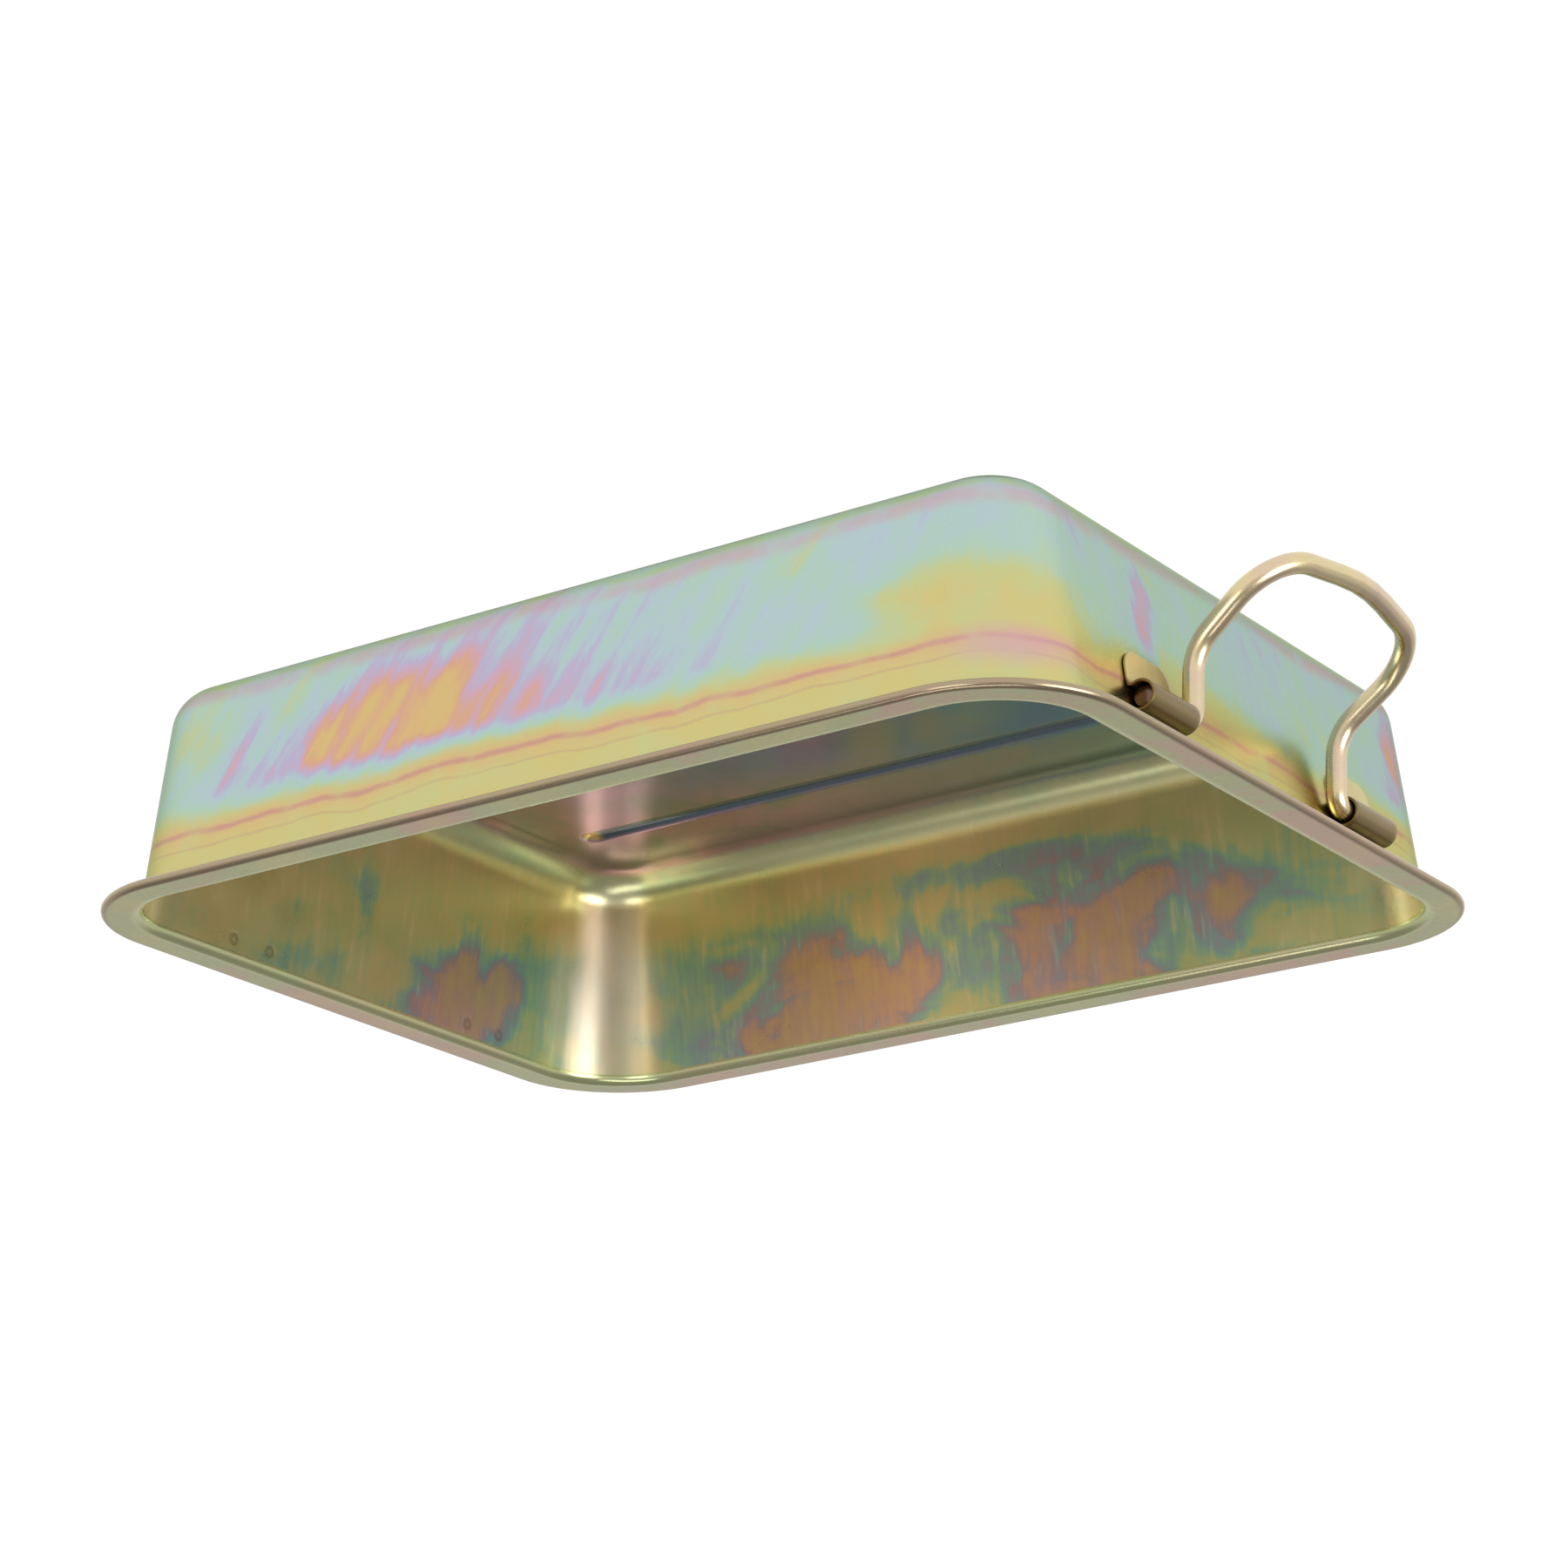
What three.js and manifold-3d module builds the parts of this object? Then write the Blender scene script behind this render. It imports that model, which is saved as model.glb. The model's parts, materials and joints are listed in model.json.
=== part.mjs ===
// Deep-drawn sheet-steel paint tray with two swinging wire handles.
// Millimetres, +Z up. X runs along the tray, Y across it. The origin is the centre of the
// footprint at the height the tray stands on.

import * as THREE from 'three';
import { mergeVertices } from 'three/addons/utils/BufferGeometryUtils.js';
import Module from 'manifold-3d';

const wasm = await Module();
wasm.setup();

// ---- driving dimensions ---------------------------------------------------------------------

const SHEET = 0.8;                // thickness of the tray and clip sheet
const HALF_SHEET = SHEET / 2;

const TRAY_LENGTH = 360;          // over the rolled rim, along X
const TRAY_WIDTH = 280;           // over the rolled rim, along Y
const TRAY_HEIGHT = 76;           // floor to the top of the flange
const RIM_CORNER_RADIUS = 42;     // plan radius of the rim's outer edge
const CURL_RADIUS = 1.5;          // outside radius of the rolled edge
const CURL_TURN = 240;            // degrees that the edge is rolled through
const WALL_INSET_TOP = 11.8;      // rim edge to the wall's outer face, at the flange
const WALL_INSET_BASE = 20.9;     // the same at the underside of the base
const FLANGE_BEND = 2.6;          // bend radii, on the middle of the sheet
const BASE_BEND = 13.6;
const BASE_FLAT_INSET = 36;       // rim edge to a line on the flat of the base

const GROOVE_PITCH = 74.5;        // three grooves, pressed down, that the tray stands on
const GROOVE_HALF_LENGTH = 136;
const GROOVE_DEPTH = 1.5;
const GROOVE_HALF_WIDTH_TOP = 5;
const GROOVE_HALF_WIDTH_FLOOR = 2;

const WIRE_RADIUS = 3.2;          // handles are 6.4 mm wire
const PIVOT_END = 71;             // half the distance over the two turned-out wire ends
const LEG_HALF_SPACING = 43.1;    // handle legs at the pivot, and at the knee
const KNEE_HALF_SPACING = 43.1;
const GRIP_HALF_WIDTH = 45.6;
const LEG_LENGTH = 22.3;          // pivot to knee
const LEG_LEAN = 2.9;             // degrees the hanging leg leans away from the tray
const ARM_LENGTH = 36.1;          // knee to grip corner
const ARM_ANGLE = 52;             // degrees the arm stands out from straight down
const GRIP_BOW = 6.9;             // the grip's middle stands out beyond its corners
const PIVOT_BEND = 4.5;           // centreline bend radii of the wire
const KNEE_BEND = 16.2;
const GRIP_CORNER_BEND = 19.3;
const GRIP_BOW_BEND = 90;

const CLIP_INNER_END = 47.5;      // each clip spans these distances from the tray's middle
const CLIP_OUTER_END = 73.2;
const CLIP_HEIGHT = 62.2;         // height on the wall of the middle of the clip's barrel
const CLIP_GAP = 0.3;             // clearance between the clip and the wall
const BARREL_RADIUS = 4.3;        // middle of the sheet
const BARREL_STANDOFF = 4.0;      // barrel centre to the wall's outer face
const BARREL_FILLET = 1.2;        // where the barrel turns into the flat straps
const STRAP_TOP = 10;             // end of the upper strap above the barrel's middle
const TONGUE_END = 15.7;          // end of the lower strap below it
const TONGUE_CORNER = 6;
const WIRE_STANDOFF = 3.9;        // wire axis to the wall's outer face
const WIRE_DROP = 0.2;            // the wire lies this far below the barrel's middle

// ---- facets ---------------------------------------------------------------------------------

const CORNER_STEPS = 7;           // per plan corner of the tray
const SHEET_BEND_STEP = 14;       // most degrees per facet in a bend
const WIRE_BEND_STEP = 10;
const CURL_STEP = 30;
const BARREL_STEP = 18;
const GROOVE_END_STEPS = 4;       // per quarter of a groove's round end
const WIRE_SIDES = 24;

// ---- finishes -------------------------------------------------------------------------------

const FINISH = {
  passivatedSheet: { color: 0xb2ad7d, roughness: 0.3, metalness: 1 },
  wire: { color: 0xc8b79c, roughness: 0.3, metalness: 1 },
  clip: { color: 0x776a4a, roughness: 0.35, metalness: 1 },
};

const rad = THREE.MathUtils.degToRad;
const BASE_UNDERSIDE = GROOVE_DEPTH;
const WALL_SLOPE = (WALL_INSET_BASE - WALL_INSET_TOP) / (TRAY_HEIGHT - BASE_UNDERSIDE);
const DRAFT = Math.atan(WALL_SLOPE);

// Distance from the rim's edge in to the wall's outer face at a height.
function wallInset(height) {
  return WALL_INSET_BASE - (height - BASE_UNDERSIDE) * WALL_SLOPE;
}

// ---- paths made of straight runs and round bends --------------------------------------------

// A station is a point on a path with the path's direction there.
function station(point, tangent) {
  return { point: point.clone(), tangent: tangent.clone().normalize() };
}

// Stations of one round bend at a corner between two straight runs.
function bendAtCorner(before, corner, after, radius, maxStep) {
  const arriving = corner.clone().sub(before).normalize();
  const leaving = after.clone().sub(corner).normalize();
  const turn = arriving.angleTo(leaving);
  const start = corner.clone().addScaledVector(arriving, -radius * Math.tan(turn / 2));
  const inward = leaving.clone().addScaledVector(arriving, -Math.cos(turn)).normalize();
  const centre = start.clone().addScaledVector(inward, radius);
  const steps = Math.ceil(turn / rad(maxStep));
  const stations = [];
  for (let i = 0; i <= steps; i += 1) {
    const angle = turn * i / steps;
    const point = centre.clone()
      .addScaledVector(inward, -radius * Math.cos(angle))
      .addScaledVector(arriving, radius * Math.sin(angle));
    const tangent = arriving.clone().multiplyScalar(Math.cos(angle))
      .addScaledVector(inward, Math.sin(angle));
    stations.push(station(point, tangent));
  }
  return stations;
}

// Stations along a run of corners; every corner but the two ends is rounded by its radius.
function bentPath(corners, radii, maxStep) {
  const last = corners.length - 1;
  const stations = [station(corners[0], corners[1].clone().sub(corners[0]))];
  for (let i = 1; i < last; i += 1) {
    stations.push(
      ...bendAtCorner(corners[i - 1], corners[i], corners[i + 1], radii[i - 1], maxStep),
    );
  }
  stations.push(station(corners[last], corners[last].clone().sub(corners[last - 1])));
  return stations;
}

// Stations of an arc in the XY plane, from one angle to another in degrees.
function arcPath(centre, radius, from, to, maxStep) {
  const sense = Math.sign(to - from);
  const steps = Math.ceil(Math.abs(to - from) / maxStep);
  const stations = [];
  for (let i = 0; i <= steps; i += 1) {
    const angle = rad(from + (to - from) * i / steps);
    const out = new THREE.Vector3(Math.cos(angle), Math.sin(angle), 0);
    const along = new THREE.Vector3(-out.y, out.x, 0).multiplyScalar(sense);
    stations.push(station(centre.clone().addScaledVector(out, radius), along));
  }
  return stations;
}

// Closed outline, in the XY plane, of sheet whose middle follows the stations. It goes out
// along the left of the path and comes back along its right.
function sheetOutline(stations) {
  const side = (sign) => stations.map(({ point, tangent }) => new THREE.Vector2(
    point.x - sign * HALF_SHEET * tangent.y,
    point.y + sign * HALF_SHEET * tangent.x,
  ));
  return [...side(1), ...side(-1).reverse()];
}

// ---- solids ---------------------------------------------------------------------------------

function toManifold(geometry) {
  const bare = geometry.index ? geometry.toNonIndexed() : geometry.clone();
  bare.deleteAttribute('normal');
  bare.deleteAttribute('uv');
  const merged = mergeVertices(bare, 1e-4);
  return new wasm.Manifold(new wasm.Mesh({
    numProp: 3,
    vertProperties: new Float32Array(merged.attributes.position.array),
    triVerts: new Uint32Array(merged.index.array),
  }));
}

function toGeometry(manifold) {
  const mesh = manifold.getMesh();
  const geometry = new THREE.BufferGeometry();
  geometry.setAttribute('position', new THREE.BufferAttribute(mesh.vertProperties, 3));
  geometry.setIndex(new THREE.BufferAttribute(mesh.triVerts, 1));
  return geometry;
}

// Closed solid through a stack of rings that all have the same number of points.
// The first and the last ring are capped from their middles.
function loftRings(rings) {
  const count = rings[0].length;
  const positions = rings.flat().flatMap((p) => [p.x, p.y, p.z]);
  const indices = [];
  for (let r = 0; r + 1 < rings.length; r += 1) {
    for (let i = 0; i < count; i += 1) {
      const next = (i + 1) % count;
      const [a, b] = [r * count + i, r * count + next];
      const [c, d] = [a + count, b + count];
      indices.push(a, b, d, a, d, c);
    }
  }
  const cap = (ring, flip) => {
    const middle = rings[ring].reduce((sum, p) => sum.add(p), new THREE.Vector3())
      .divideScalar(count);
    const centre = positions.length / 3;
    positions.push(middle.x, middle.y, middle.z);
    for (let i = 0; i < count; i += 1) {
      const [a, b] = [ring * count + i, ring * count + (i + 1) % count];
      indices.push(...(flip ? [centre, b, a] : [centre, a, b]));
    }
  };
  cap(0, true);
  cap(rings.length - 1, false);
  const geometry = new THREE.BufferGeometry();
  geometry.setAttribute('position', new THREE.Float32BufferAttribute(positions, 3));
  geometry.setIndex(indices);
  return geometry;
}

// Rounded rectangle, anticlockwise from above.
function roundedRing(halfLength, halfWidth, radius, z, steps = CORNER_STEPS) {
  const ring = [];
  for (const [quarter, sx, sy] of [[0, 1, 1], [1, -1, 1], [2, -1, -1], [3, 1, -1]]) {
    for (let i = 0; i <= steps; i += 1) {
      const angle = (quarter + i / steps) * Math.PI / 2;
      ring.push(new THREE.Vector3(
        sx * (halfLength - radius) + radius * Math.cos(angle),
        sy * (halfWidth - radius) + radius * Math.sin(angle),
        z,
      ));
    }
  }
  return ring;
}

// ---- the tray pan ---------------------------------------------------------------------------

// Middle of the sheet in section: x is the inset from the rim's outer edge, y is the height.
function panSection() {
  const baseHeight = BASE_UNDERSIDE + HALF_SHEET;
  const flangeHeight = TRAY_HEIGHT - HALF_SHEET;
  const wallMiddle = (height) => wallInset(height) + HALF_SHEET / Math.cos(DRAFT);
  const at = (inset, z) => new THREE.Vector3(inset, z, 0);
  const corners = [
    at(BASE_FLAT_INSET, baseHeight),
    at(wallMiddle(baseHeight), baseHeight),
    at(wallMiddle(flangeHeight), flangeHeight),
    at(CURL_RADIUS, flangeHeight),
  ];
  const sheet = bentPath(corners, [BASE_BEND, FLANGE_BEND], SHEET_BEND_STEP);
  const curlCentre = at(CURL_RADIUS, TRAY_HEIGHT - CURL_RADIUS);
  const curl = arcPath(curlCentre, CURL_RADIUS - HALF_SHEET, 90, 90 + CURL_TURN, CURL_STEP);
  return [...sheet.slice(0, -1), ...curl];
}

// Stadium-shaped tool with sloping sides, to press out or cut away one groove.
function grooveTool(y, floorHeight, topHeight, widen) {
  const ring = (halfWidth, z) => {
    const r = halfWidth + widen;
    const halfLength = GROOVE_HALF_LENGTH - GROOVE_HALF_WIDTH_TOP + r;
    return roundedRing(halfLength, r, r, z, GROOVE_END_STEPS);
  };
  const rings = [
    ring(GROOVE_HALF_WIDTH_FLOOR, floorHeight),
    ring(GROOVE_HALF_WIDTH_TOP, topHeight),
  ];
  return toManifold(loftRings(rings).translate(0, y, 0));
}

function panGeometry() {
  const rings = sheetOutline(panSection()).map(({ x: inset, y: z }) => roundedRing(
    TRAY_LENGTH / 2 - inset,
    TRAY_WIDTH / 2 - inset,
    RIM_CORNER_RADIUS - inset,
    z,
  ));
  let pan = toManifold(loftRings(rings));
  const top = BASE_UNDERSIDE + SHEET;
  for (const y of [-GROOVE_PITCH, 0, GROOVE_PITCH]) {
    pan = pan.add(grooveTool(y, 0, BASE_UNDERSIDE + HALF_SHEET, HALF_SHEET));
    pan = pan.subtract(grooveTool(y, top - GROOVE_DEPTH, top + HALF_SHEET, 0));
  }
  return toGeometry(pan);
}

// ---- the wire handles -----------------------------------------------------------------------

// A wire's centreline, sampled station by station so that its bends get the facets.
class WireCurve extends THREE.Curve {
  constructor(stations) {
    super();
    this.stations = stations;
  }

  at(t) {
    return this.stations[Math.round(t * (this.stations.length - 1))];
  }

  getPoint(t, target = new THREE.Vector3()) {
    return target.copy(this.at(t).point);
  }

  getPointAt(t, target) {
    return this.getPoint(t, target);
  }

  getTangentAt(t, target = new THREE.Vector3()) {
    return target.copy(this.at(t).tangent);
  }
}

// Handle in its own frame: pivot axis along Y through the origin, -X away from the tray.
function handleGeometry() {
  const lean = rad(LEG_LEAN);
  const out = rad(ARM_ANGLE);
  const knee = new THREE.Vector3(-Math.sin(lean), 0, -Math.cos(lean)).multiplyScalar(LEG_LENGTH);
  const armDirection = new THREE.Vector3(-Math.sin(out), 0, -Math.cos(out));
  const grip = knee.clone().addScaledVector(armDirection, ARM_LENGTH);
  const bow = knee.clone().addScaledVector(armDirection, ARM_LENGTH + GRIP_BOW);
  const half = [
    new THREE.Vector3(0, PIVOT_END, 0),
    new THREE.Vector3(0, LEG_HALF_SPACING, 0),
    knee.clone().setY(KNEE_HALF_SPACING),
    grip.clone().setY(GRIP_HALF_WIDTH),
  ];
  const otherHalf = half.map((p) => new THREE.Vector3(p.x, -p.y, p.z)).reverse();
  const radii = [PIVOT_BEND, KNEE_BEND, GRIP_CORNER_BEND];
  const stations = bentPath(
    [...half, bow, ...otherHalf],
    [...radii, GRIP_BOW_BEND, ...radii.slice().reverse()],
    WIRE_BEND_STEP,
  );
  const section = new THREE.Shape();
  section.absarc(0, 0, WIRE_RADIUS, 0, 2 * Math.PI);
  return new THREE.ExtrudeGeometry(section, {
    steps: stations.length - 1,
    curveSegments: WIRE_SIDES / 2,
    extrudePath: new WireCurve(stations),
  });
}

// ---- the handle clips -----------------------------------------------------------------------

// Middle of the strap in section: x is the distance out from the wall, y is up the wall.
function strapSection() {
  const strapX = CLIP_GAP + HALF_SHEET;
  const filletX = strapX + BARREL_FILLET;
  const reach = BARREL_RADIUS + BARREL_FILLET;
  const filletY = Math.sqrt(reach ** 2 - (BARREL_STANDOFF - filletX) ** 2);
  const meet = THREE.MathUtils.radToDeg(Math.atan2(filletY, filletX - BARREL_STANDOFF));
  const at = (x, y) => new THREE.Vector3(x, y, 0);
  const down = at(0, -1);
  return [
    station(at(strapX, STRAP_TOP), down),
    ...arcPath(at(filletX, filletY), BARREL_FILLET, 180, 180 + meet, BARREL_STEP).slice(0, -1),
    ...arcPath(at(BARREL_STANDOFF, 0), BARREL_RADIUS, meet, -meet, BARREL_STEP),
    ...arcPath(at(filletX, -filletY), BARREL_FILLET, 180 - meet, 180, BARREL_STEP).slice(1),
    station(at(strapX, -TONGUE_END), down),
  ];
}

// Clip in its wall frame: x out from the wall, y up the wall, z along the barrel.
function clipGeometry() {
  const length = CLIP_OUTER_END - CLIP_INNER_END;
  const strap = new THREE.ExtrudeGeometry(
    new THREE.Shape(sheetOutline(strapSection())),
    { depth: length, bevelEnabled: false },
  );
  const outline = new THREE.Shape();
  outline.moveTo(0, STRAP_TOP);
  outline.lineTo(0, TONGUE_CORNER - TONGUE_END);
  outline.absarc(TONGUE_CORNER, TONGUE_CORNER - TONGUE_END, TONGUE_CORNER, Math.PI, 1.5 * Math.PI);
  outline.absarc(
    length - TONGUE_CORNER, TONGUE_CORNER - TONGUE_END, TONGUE_CORNER, 1.5 * Math.PI, 2 * Math.PI,
  );
  outline.lineTo(length, STRAP_TOP);
  const depth = BARREL_STANDOFF + BARREL_RADIUS + SHEET;
  const blank = new THREE.ExtrudeGeometry(outline, { depth, bevelEnabled: false, curveSegments: 4 })
    .rotateY(-Math.PI / 2)
    .translate(depth, 0, 0);
  return toGeometry(toManifold(strap).intersect(toManifold(blank)));
}

// ---- placing the pieces ---------------------------------------------------------------------

// Frame on the outer face of the end wall at -X: x out of the wall, y up it, z along +Y.
function wallFrame(height) {
  const outward = new THREE.Vector3(-Math.cos(DRAFT), 0, -Math.sin(DRAFT));
  const up = new THREE.Vector3(-Math.sin(DRAFT), 0, Math.cos(DRAFT));
  const along = new THREE.Vector3(0, 1, 0);
  const x = wallInset(height) - TRAY_LENGTH / 2;
  return new THREE.Matrix4().makeBasis(outward, up, along).setPosition(x, 0, height);
}

function named(name, geometry, finish) {
  const material = new THREE.MeshStandardMaterial(FINISH[finish]);
  const mesh = new THREE.Mesh(geometry, material);
  mesh.name = name;
  return mesh;
}

// Handle and its two clips at the -X end of the tray.
function handleEnd(end) {
  const group = new THREE.Group();
  const wall = wallFrame(CLIP_HEIGHT);

  const handle = named(`${end}_handle`, handleGeometry(), 'wire');
  handle.position.set(WIRE_STANDOFF, -WIRE_DROP, 0).applyMatrix4(wall);
  group.add(handle);

  for (const [side, start] of [['left', CLIP_INNER_END], ['right', -CLIP_OUTER_END]]) {
    const clip = named(`${end}_handle_clip_${side}`, clipGeometry(), 'clip');
    clip.quaternion.setFromRotationMatrix(wall);
    clip.position.set(0, 0, start).applyMatrix4(wall);
    group.add(clip);
  }
  return group;
}

const paintTray = new THREE.Group();
paintTray.add(named('tray_pan', panGeometry(), 'passivatedSheet'));

const frontEnd = handleEnd('front');
const rearEnd = handleEnd('rear');
rearEnd.rotation.z = Math.PI;
paintTray.add(frontEnd, rearEnd);

export default paintTray;
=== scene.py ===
"""Looks of the paint tray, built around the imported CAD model. Metres, +Z up."""

import json
import math

import bmesh
import bpy
from mathutils import Matrix, Vector


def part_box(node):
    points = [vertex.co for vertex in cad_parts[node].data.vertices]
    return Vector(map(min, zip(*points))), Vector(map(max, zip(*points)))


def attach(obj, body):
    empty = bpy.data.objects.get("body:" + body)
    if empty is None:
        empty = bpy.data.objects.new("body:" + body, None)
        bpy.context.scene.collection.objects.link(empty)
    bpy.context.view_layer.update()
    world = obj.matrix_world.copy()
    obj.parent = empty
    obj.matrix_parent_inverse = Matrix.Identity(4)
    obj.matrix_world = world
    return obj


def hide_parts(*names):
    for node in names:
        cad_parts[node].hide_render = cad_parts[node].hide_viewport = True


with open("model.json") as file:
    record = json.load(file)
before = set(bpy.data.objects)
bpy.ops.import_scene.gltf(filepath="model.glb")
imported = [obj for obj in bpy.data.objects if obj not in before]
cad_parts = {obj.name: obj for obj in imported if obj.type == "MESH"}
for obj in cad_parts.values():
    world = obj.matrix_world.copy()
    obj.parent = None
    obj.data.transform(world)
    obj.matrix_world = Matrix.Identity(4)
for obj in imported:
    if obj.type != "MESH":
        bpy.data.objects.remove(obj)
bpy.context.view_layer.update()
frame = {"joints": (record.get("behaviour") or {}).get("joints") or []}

# ---- driving dimensions, metres ---------------------------------------------------------------

MM = 0.001
PAN_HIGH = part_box("tray_pan")[1]
HALF_LENGTH = PAN_HIGH.x
HALF_WIDTH = PAN_HIGH.y
HEIGHT = PAN_HIGH.z

SHEET = 0.8 * MM
RIM_CORNER_RADIUS = 42 * MM
CURL_RADIUS = 1.5 * MM
CURL_END = math.radians(330)     # where the rolled edge stops: 90 is its top, 180 its outside
WALL_INSET_TOP = 11.8 * MM
WALL_INSET_BASE = 20.9 * MM
FLANGE_BEND = 2.6 * MM
BASE_BEND = 13.6 * MM
BASE_FLAT_INSET = 36 * MM
GROOVE_PITCH = 74.5 * MM
GROOVE_HALF_LENGTH = 136 * MM
GROOVE_DEPTH = 1.5 * MM
GROOVE_TOP = 5 * MM
GROOVE_FLOOR = 2 * MM

BASE_UNDERSIDE = GROOVE_DEPTH
WALL_SLOPE = (WALL_INSET_BASE - WALL_INSET_TOP) / (HEIGHT - BASE_UNDERSIDE)
DRAFT = math.atan(WALL_SLOPE)

WIRE_RADIUS = 3.2 * MM
PIVOT_END = 71 * MM
LEG_HALF_SPACING = 43.1 * MM
KNEE_HALF_SPACING = 43.1 * MM
GRIP_HALF_WIDTH = 45.6 * MM
LEG_LENGTH = 22.3 * MM
LEG_LEAN = math.radians(2.9)
ARM_LENGTH = 36.1 * MM
ARM_ANGLE = math.radians(52)
GRIP_BOW = 6.9 * MM
WIRE_BENDS = [4.5 * MM, 16.2 * MM, 19.3 * MM]
GRIP_BOW_BEND = 90 * MM
WIRE_END_CHAMFER = 0.35 * MM

CLIP_INNER_END = 47.5 * MM
CLIP_OUTER_END = 73.2 * MM
CLIP_HEIGHT = 62.2 * MM
CLIP_GAP = 0.3 * MM
BARREL_RADIUS = 4.3 * MM
BARREL_STANDOFF = 4.0 * MM
BARREL_FILLET = 1.2 * MM
STRAP_TOP = 10 * MM
TONGUE_END = 15.7 * MM
TONGUE_CORNER = 6 * MM
STRAP_EDGE_BEVEL = 0.12 * MM

# Fineness of the meshes.
CORNER_STEPS = 16                # facets in each plan corner of the pan
FINE_BEND = math.radians(6)      # most turn from one ring to the next in a bend
CURL_BEND = math.radians(15)     # and in the rolled edge
SECTION_STEP = 8 * MM            # longest straight step up the pan's wall
GRID_STEP = 12 * MM              # longest step between the base grid's lines
GRID_MARGIN = 0.5 * MM           # the fine lines stay this far inside the grid's edge
WIRE_STEP = 6 * MM               # longest straight step along a handle
WIRE_SIDES = 48
SUPPORT = 0.6 * MM               # how near the ends of a straight run its extra points lie
STRAP_STEP = 0.6 * MM            # longest straight step along a clip's strap
STRAP_SUPPORT = 0.2 * MM         # SUPPORT, for the strap
STRAP_COLUMNS = 12               # faces across a strap

# ---- camera -----------------------------------------------------------------------------------

CAMERA_AZIMUTH = math.radians(-34.589)
CAMERA_ELEVATION = math.radians(19.645)
CAMERA_ROLL = math.radians(180 - 0.38)   # the picture is taken upside down
CAMERA_DISTANCE = 1.32696
CAMERA_TARGET = Vector((0, 0, 0.0315))
CAMERA_SLIDE = (-0.00032, -0.00009)      # to the right and up, seen upright
CAMERA_LENS = 97.11                      # millimetres, as the sensor's width is
CAMERA_SENSOR = 36


def make_camera():
    """Camera that looks at the target from the photo's side, rolled about its own axis."""
    level = math.cos(CAMERA_ELEVATION)
    back = Vector((
        math.sin(CAMERA_AZIMUTH) * level,
        -math.cos(CAMERA_AZIMUTH) * level,
        math.sin(CAMERA_ELEVATION),
    ))
    right = Vector((0, 0, 1)).cross(back).normalized()
    up = back.cross(right)
    level_roll = CAMERA_ROLL - math.pi
    right, up = (
        right * math.cos(level_roll) + up * math.sin(level_roll),
        up * math.cos(level_roll) - right * math.sin(level_roll),
    )
    place = CAMERA_TARGET + back * CAMERA_DISTANCE + right * CAMERA_SLIDE[0] + up * CAMERA_SLIDE[1]
    data = bpy.data.cameras.new("camera")
    data.lens = CAMERA_LENS
    data.sensor_width = CAMERA_SENSOR
    camera = bpy.data.objects.new("camera", data)
    axes = Matrix((-right, -up, back)).transposed()
    camera.matrix_world = Matrix.Translation(place) @ axes.to_4x4()
    bpy.context.scene.collection.objects.link(camera)
    bpy.context.scene.camera = camera


# ---- paths of straight runs and round bends ---------------------------------------------------

def bend_at(before, corner, after, radius, most):
    """(point, direction) round one corner, with no step turning more than most."""
    arriving = (corner - before).normalized()
    leaving = (after - corner).normalized()
    turn = arriving.angle(leaving)
    inward = (leaving - arriving * math.cos(turn)).normalized()
    centre = corner - arriving * radius * math.tan(turn / 2) + inward * radius
    steps = max(1, math.ceil(turn / most))
    out = []
    for i in range(steps + 1):
        angle = turn * i / steps
        point = centre - inward * radius * math.cos(angle) + arriving * radius * math.sin(angle)
        out.append((point, arriving * math.cos(angle) + inward * math.sin(angle)))
    return out


def bent_path(corners, radii, most=FINE_BEND):
    """(point, direction) along a run of corners, all but the ends rounded."""
    path = [(corners[0], (corners[1] - corners[0]).normalized())]
    for i, radius in enumerate(radii):
        path += bend_at(*corners[i:i + 3], radius, most)
    path.append((corners[-1], (corners[-1] - corners[-2]).normalized()))
    return path


def arc_path(centre, radius, start, end, most):
    """(point, direction) round an arc in the XY plane; angles in radians."""
    steps = math.ceil(abs(end - start) / most)
    sense = math.copysign(1, end - start)
    out = []
    for i in range(steps + 1):
        angle = start + (end - start) * i / steps
        spoke = Vector((math.cos(angle), math.sin(angle), 0))
        out.append((centre + spoke * radius, Vector((-spoke.y, spoke.x, 0)) * sense))
    return out


def with_support(path, longest, support=SUPPORT):
    """The same path with extra points near the ends of its long straight runs and along them."""
    shortest_run = 4 * support
    out = [path[0]]
    for (a, _), (b, direction) in zip(path, path[1:]):
        length = (b - a).length
        if length > shortest_run:
            inner = length - 2 * support
            parts = math.ceil(inner / longest)
            for i in range(parts + 1):
                out.append((a + (b - a) * ((support + inner * i / parts) / length), direction))
        out.append((b, direction))
    return out


def offset_path(path, distance):
    """Points of a path in the XY plane moved to its left."""
    return [p + Vector((-d.y, d.x, 0)) * distance for p, d in path]


# ---- meshes -----------------------------------------------------------------------------------

def new_piece(name, mesh_build, body, node, materials):
    """Object from a bmesh, in the tray's own frame, that stands for a CAD node."""
    mesh = bpy.data.meshes.new(name)
    bmesh.ops.recalc_face_normals(mesh_build, faces=mesh_build.faces)
    mesh_build.to_mesh(mesh)
    mesh_build.free()
    mesh.polygons.foreach_set("use_smooth", [True] * len(mesh.polygons))
    for material in materials:
        mesh.materials.append(material)
    piece = bpy.data.objects.new(name, mesh)
    bpy.context.scene.collection.objects.link(piece)
    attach(piece, body)
    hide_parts(node)
    return piece


def bridge(build, ring_a, ring_b, material=0):
    """Quads between two closed rings of vertices."""
    count = len(ring_a)
    for i in range(count):
        j = (i + 1) % count
        face = build.faces.new((ring_a[i], ring_a[j], ring_b[j], ring_b[i]))
        face.material_index = material


# ---- the pan ----------------------------------------------------------------------------------

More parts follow.
